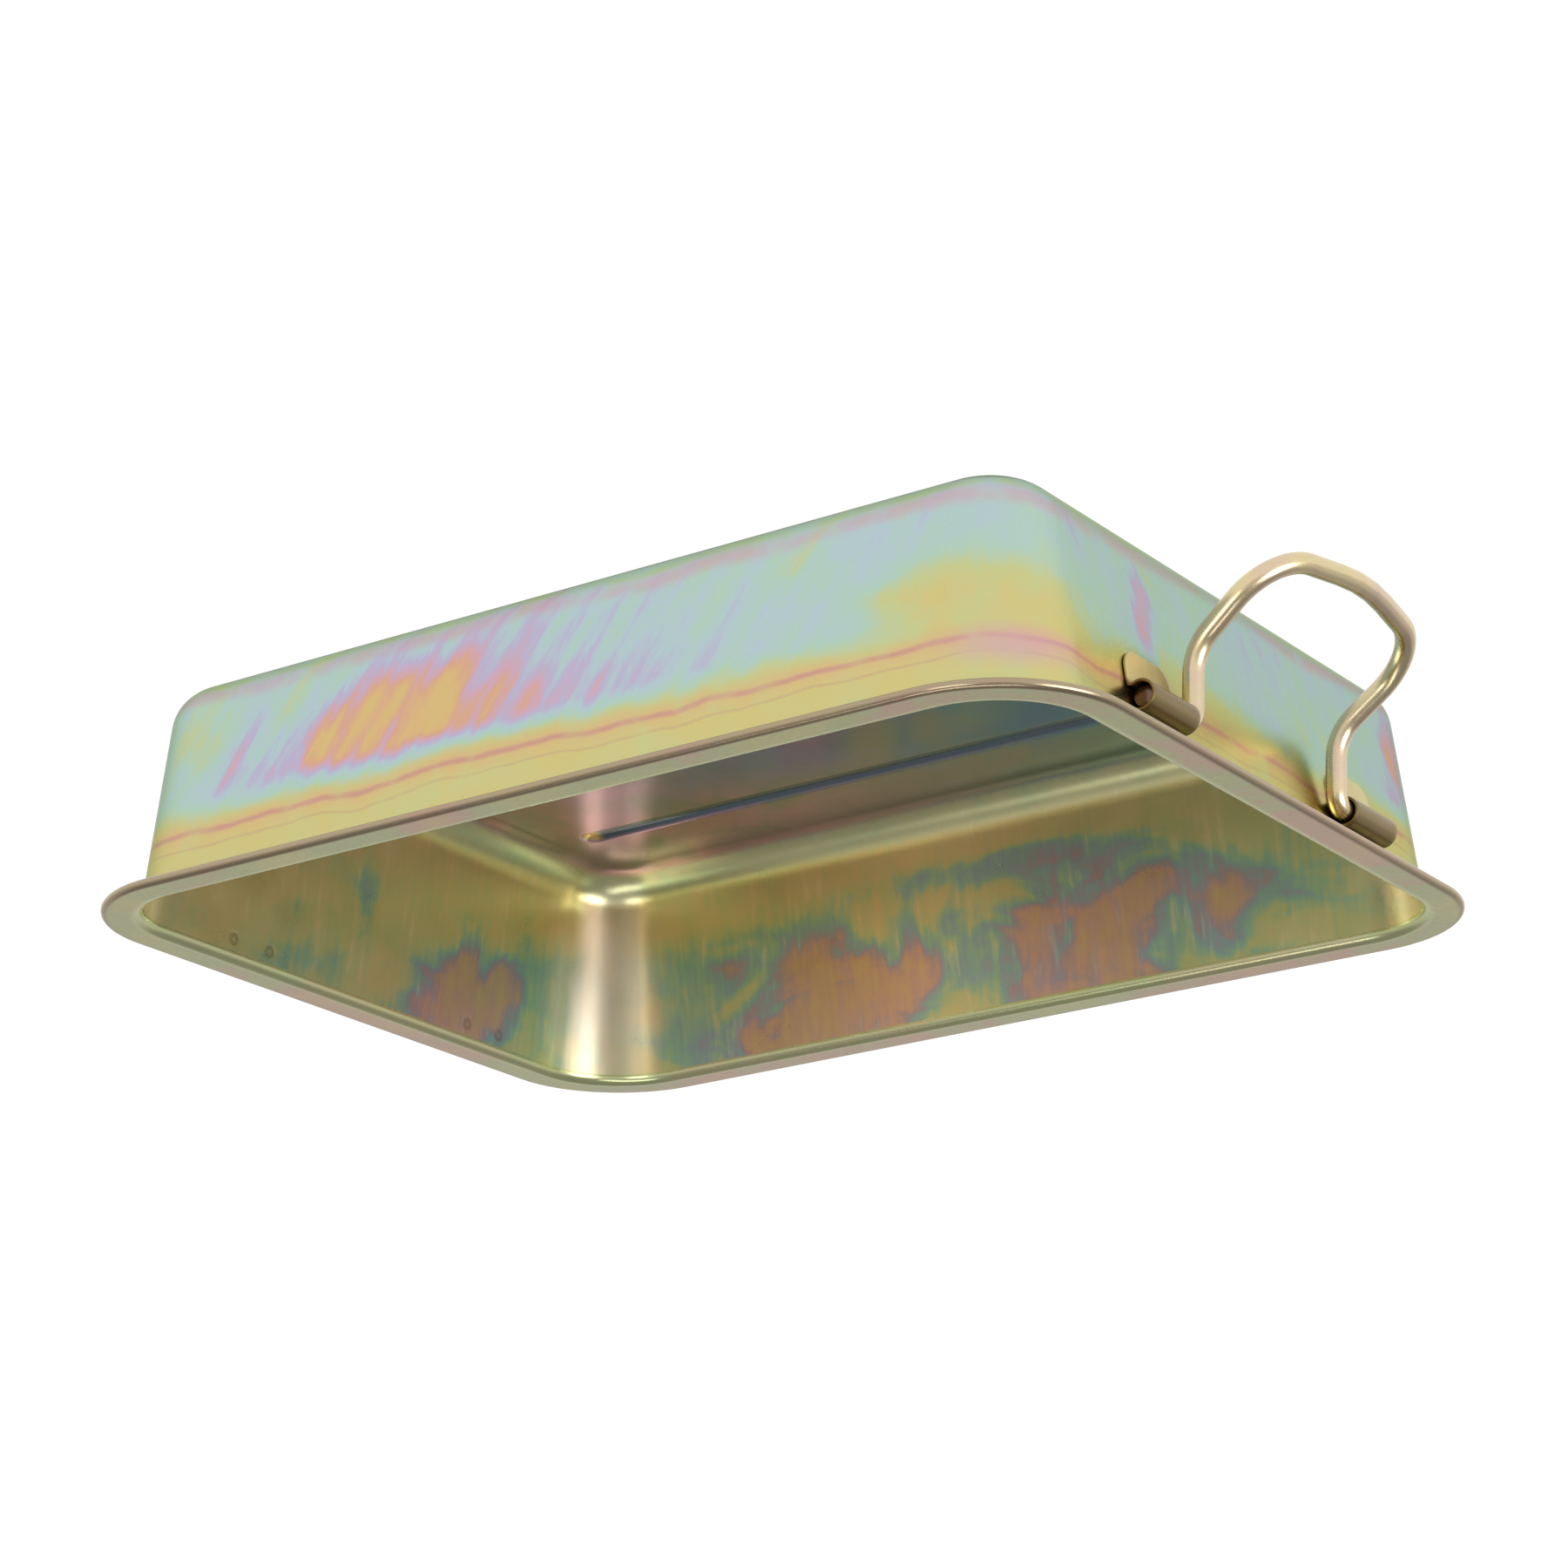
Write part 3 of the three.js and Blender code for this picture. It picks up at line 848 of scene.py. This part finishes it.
def with_bends(g, colour):
    """Painted highlight on upright corners; painted shade makes the base bend darker and greener."""
    # Painted highlight on the upright corners.
    corner = g.step(g.distance(g.folded(), CORNER_CENTRE, CORNER_RADII), low=1.0, high=0.2)
    colour = g.tint(colour, CORNER_HIGHLIGHT, mask=corner, amount=0.75)
    # Painted shade on the bend between the walls and the base.
    bottom = g.step(g.z, low=2.6 * MM, high=4.5 * MM)
    top = g.step(g.z, low=14 * MM, high=8 * MM)
    return g.tint(colour, BEND_SHADE, mask=g.math("MULTIPLY", bottom, top), amount=0.45)


def with_base(g, colour, on_base, drift):
    """Base from mauve painted reflection to blue-green; blue painted-reflection grooves, gold rear
    ends.
    """
    # Painted reflection: mauve at the rear of the base, blending to blue-green at the front.
    grey = g.mix(g.step(g.x, low=0.10, high=-0.09), BASE_REAR_REFLECTION, BASE_FRONT)
    grey = g.mix(g.step(drift, low=0.45, high=0.70), grey, BASE_CLOUD)
    colour = g.tint(colour, grey, mask=on_base, amount=0.95)
    # Painted reflection: blue-grey groove floors, with gold rear ends.
    deep = g.mix(g.step(g.x, low=0.128, high=0.132), GROOVE_REFLECTION, GROOVE_END_GOLD)
    groove = g.step(g.z, low=2.2 * MM, high=1.5 * MM)
    return g.mix(groove, colour, deep)


def weld_marks(g):
    """1 on the round marks that the spot welds leave."""
    marks = 0.0
    for y in WELD_ROWS:
        distance = g.distance(g.folded(), (WELD_X, y, WELD_HEIGHT))
        away = g.math("ABSOLUTE", g.math("SUBTRACT", distance, WELD_RADIUS))
        marks = g.math("ADD", marks, g.step(away, *WELD_RING))
    return marks


def inside_material():
    g = Graph("passivated_sheet_inside")
    patches = g.noise(64, detail=4.0, shift=(0.2, 1.4, 0.7), wander=0.2)
    drift = g.noise(30, detail=4.0, stretch=(1.4, 1.4, 0.9), shift=(0.5, 0.9, 0.2), wander=1.2)
    streaks = g.noise(380, detail=2.0, stretch=(1, 1, 16))
    on_base = g.step(g.z, low=4.5 * MM, high=2.5 * MM)
    colour = g.ramp(inside_film(g, patches, drift, streaks), INSIDE_FILM)
    colour = with_scuffs(g, colour, patches, streaks)
    colour = with_bends(g, colour)
    colour = with_base(g, colour, on_base, drift)
    marks = weld_marks(g)
    colour = g.tint(colour, WELD, mask=marks, amount=0.35)
    relief = g.math("ADD", streaks, g.math("MULTIPLY", patches, SHEET_PATCH_RELIEF))
    g.bump(g.math("SUBTRACT", relief, g.math("MULTIPLY", marks, WELD_DENT)), SHEET_BUMP, strength=0.35)
    return g.finish(colour, g.blend(on_base, g.swung(0.30, (patches, 0.14)), BASE_ROUGHNESS))


# ---- the rim ----------------------------------------------------------------------------------

RIM_FILM = [
    (0.30, srgb(198, 188, 134)),
    (0.46, srgb(180, 184, 138)),
    (0.58, srgb(200, 168, 146)),
    (0.76, srgb(204, 184, 132)),
]
# Painted shade: the rolled edge of the rim is painted darker and browner.
RIM_LIP_SHADE = srgb(162, 138, 118)
# Painted highlight: the flange is painted paler where it turns down into the pan.
RIM_INNER_HIGHLIGHT = srgb(206, 212, 160)


def rim_inset(g):
    """Distance in from the rim's rounded outer edge, in plan."""
    x, y, _ = g.split(g.vector("SUBTRACT", g.folded(), (X_SIDE, Y_SIDE, 0)))
    out_x = g.math("MAXIMUM", x)
    out_y = g.math("MAXIMUM", y)
    squares = g.math("ADD", g.math("MULTIPLY", out_x, out_x), g.math("MULTIPLY", out_y, out_y))
    return g.math("SUBTRACT", RIM_CORNER_RADIUS, g.math("SQRT", squares))


def rim_material():
    """Olive flange: painted shade browns its rolled edge, painted highlight pales its inner bend."""
    g = Graph("passivated_sheet_rim")
    clouds = g.noise(18, detail=4.0, shift=(0.5, 0.2, 0.4), wander=0.6)
    fine = g.noise(600, detail=2.0)
    colour = g.ramp(g.swung(clouds, (fine, 0.2)), RIM_FILM)
    inset = rim_inset(g)
    # Painted shade on the rolled edge.
    lip_shade = g.step(inset, low=2.4 * MM, high=1.0 * MM)
    colour = g.tint(colour, RIM_LIP_SHADE, mask=lip_shade, amount=0.75)
    # Painted highlight where the flange turns down into the pan.
    inner = g.step(inset, low=8.5 * MM, high=10.5 * MM)
    colour = g.tint(colour, RIM_INNER_HIGHLIGHT, mask=inner, amount=0.6)
    g.bump(fine, 0.03 * MM, strength=0.15)
    return g.finish(colour, g.swung(0.26, (fine, 0.08)))


# ---- the wire and the clips -------------------------------------------------------------------

WIRE_FILM = [
    (0.30, srgb(206, 200, 148)),
    (0.46, srgb(216, 198, 156)),
    (0.60, srgb(212, 188, 164)),
    (0.78, srgb(204, 200, 146)),
]
# Painted shade: the wire's ends, which sit inside the clips' barrels, are painted dark.
WIRE_END_SHADE = srgb(112, 86, 74)

CLIP_FILM = [
    (0.30, srgb(128, 114, 74)),
    (0.50, srgb(134, 114, 80)),
    (0.66, srgb(124, 106, 86)),
    (0.80, srgb(132, 122, 78)),
]
TONGUE_GOLD = srgb(206, 178, 124)
TONGUE_GREEN = srgb(208, 206, 150)


def wire_material():
    """Champagne wire with painted shade on its ends, inside the clips' barrels."""
    g = Graph("passivated_wire")
    clouds = g.noise(24, shift=(0.1, 0.7, 0.3), wander=0.5)
    fine = g.noise(900)
    colour = g.ramp(g.swung(clouds, (fine, 0.15)), WIRE_FILM)
    # Painted shade on the wire's ends inside the barrels.
    end_shade = g.step(g.math("ABSOLUTE", g.y), low=PIVOT_END - 8 * MM, high=PIVOT_END - 2 * MM)
    colour = g.mix(end_shade, colour, WIRE_END_SHADE)
    g.bump(fine, 0.03 * MM, strength=0.12)
    return g.finish(colour, g.swung(0.27, (fine, 0.10)))


def clip_material():
    """Olive-brown strap with a lighter tongue."""
    g = Graph("passivated_clip")
    clouds = g.noise(60, detail=4.0, shift=(0.6, 0.1, 0.8), wander=0.5)
    fine = g.noise(1100)
    colour = g.ramp(g.swung(clouds, (fine, 0.2)), CLIP_FILM)
    tongue = g.step(g.z, low=CLIP_HEIGHT - 5.0 * MM, high=CLIP_HEIGHT - 6.5 * MM)
    colour = g.tint(colour, g.mix(clouds, TONGUE_GOLD, TONGUE_GREEN), mask=tongue, amount=0.85)
    g.bump(fine, 0.05 * MM, strength=0.4)
    return g.finish(colour, g.swung(0.34, (fine, 0.14)))


# ---- stage ------------------------------------------------------------------------------------

FLOOR_HALF_SIZE = 60
FLOOR_GREY = (0.16, 0.16, 0.16, 1)
FLOOR_GLOW = 0.96                # keeps the floor pale and free of hard shadows
WHITE = (1, 1, 1, 1)
LIGHT_AIM = Vector((0, 0, 0.03))

# Name, place, width and height, and radiance, which is what a mirror shows of the light.
SOFTBOXES = (
    ("softbox_top", (-0.10, -0.62, 1.33), (1.6, 0.35), 2.6),
    ("softbox_front", (-0.10, -1.75, 0.60), (0.9, 0.6), 3.0),
    ("softbox_left", (-1.75, -0.10, 0.50), (1.1, 0.8), 6.0),
)

# Studio light by the upward part of its direction: 0 at the horizon and 1 straight overhead.
HORIZON_LEVEL = 0.70
HORIZON_UNTIL = 0.30
OVERHEAD_LEVEL = 0.32
OVERHEAD_FROM = 0.65


def make_floor():
    mesh = bpy.data.meshes.new("floor")
    build = bmesh.new()
    bmesh.ops.create_grid(build, x_segments=1, y_segments=1, size=FLOOR_HALF_SIZE)
    build.to_mesh(mesh)
    build.free()
    floor = bpy.data.objects.new("floor", mesh)
    material = bpy.data.materials.new("floor")
    material.use_nodes = True
    shader = material.node_tree.nodes["Principled BSDF"]
    shader.inputs["Base Color"].default_value = FLOOR_GREY
    shader.inputs["Roughness"].default_value = 0.9
    shader.inputs["Specular IOR Level"].default_value = 0.0
    shader.inputs["Emission Color"].default_value = WHITE
    shader.inputs["Emission Strength"].default_value = FLOOR_GLOW
    mesh.materials.append(material)
    bpy.context.scene.collection.objects.link(floor)


def make_light(name, place, size, radiance):
    """Soft box that faces the tray."""
    data = bpy.data.lights.new(name, "AREA")
    data.shape = "RECTANGLE"
    data.size, data.size_y = size
    data.energy = radiance * math.pi * size[0] * size[1]
    light = bpy.data.objects.new(name, data)
    light.location = place
    light.rotation_euler = (LIGHT_AIM - Vector(place)).to_track_quat("-Z", "Y").to_euler()
    bpy.context.scene.collection.objects.link(light)


def make_world():
    """Even studio light, brighter near the horizon than overhead."""
    world = bpy.data.worlds.new("studio")
    world.use_nodes = True
    nodes = world.node_tree.nodes
    links = world.node_tree.links
    split = nodes.new("ShaderNodeSeparateXYZ")
    links.new(nodes.new("ShaderNodeTexCoord").outputs["Generated"], split.inputs[0])
    upward = split.outputs[2]
    level = nodes.new("ShaderNodeMapRange")
    level.interpolation_type = "SMOOTHSTEP"
    links.new(upward, level.inputs["Value"])
    level.inputs["From Min"].default_value = HORIZON_UNTIL
    level.inputs["From Max"].default_value = OVERHEAD_FROM
    level.inputs["To Min"].default_value = HORIZON_LEVEL
    level.inputs["To Max"].default_value = OVERHEAD_LEVEL
    background = nodes["Background"]
    background.inputs["Color"].default_value = WHITE
    links.new(level.outputs[0], background.inputs["Strength"])
    bpy.context.scene.world = world


def make_stage():
    make_floor()
    for softbox in SOFTBOXES:
        make_light(*softbox)
    make_world()
    bpy.context.scene.view_settings.view_transform = "Standard"


# ---- build ------------------------------------------------------------------------------------

make_camera()
make_stage()
make_pan([outside_material(), inside_material(), rim_material()])
wire = wire_material()
strap = clip_material()
for end, rear in (("front", False), ("rear", True)):
    make_handle(end + "_handle", rear, wire)
    make_clip(end + "_handle_clip_left", rear, CLIP_INNER_END, CLIP_OUTER_END, strap)
    make_clip(end + "_handle_clip_right", rear, -CLIP_OUTER_END, -CLIP_INNER_END, strap)
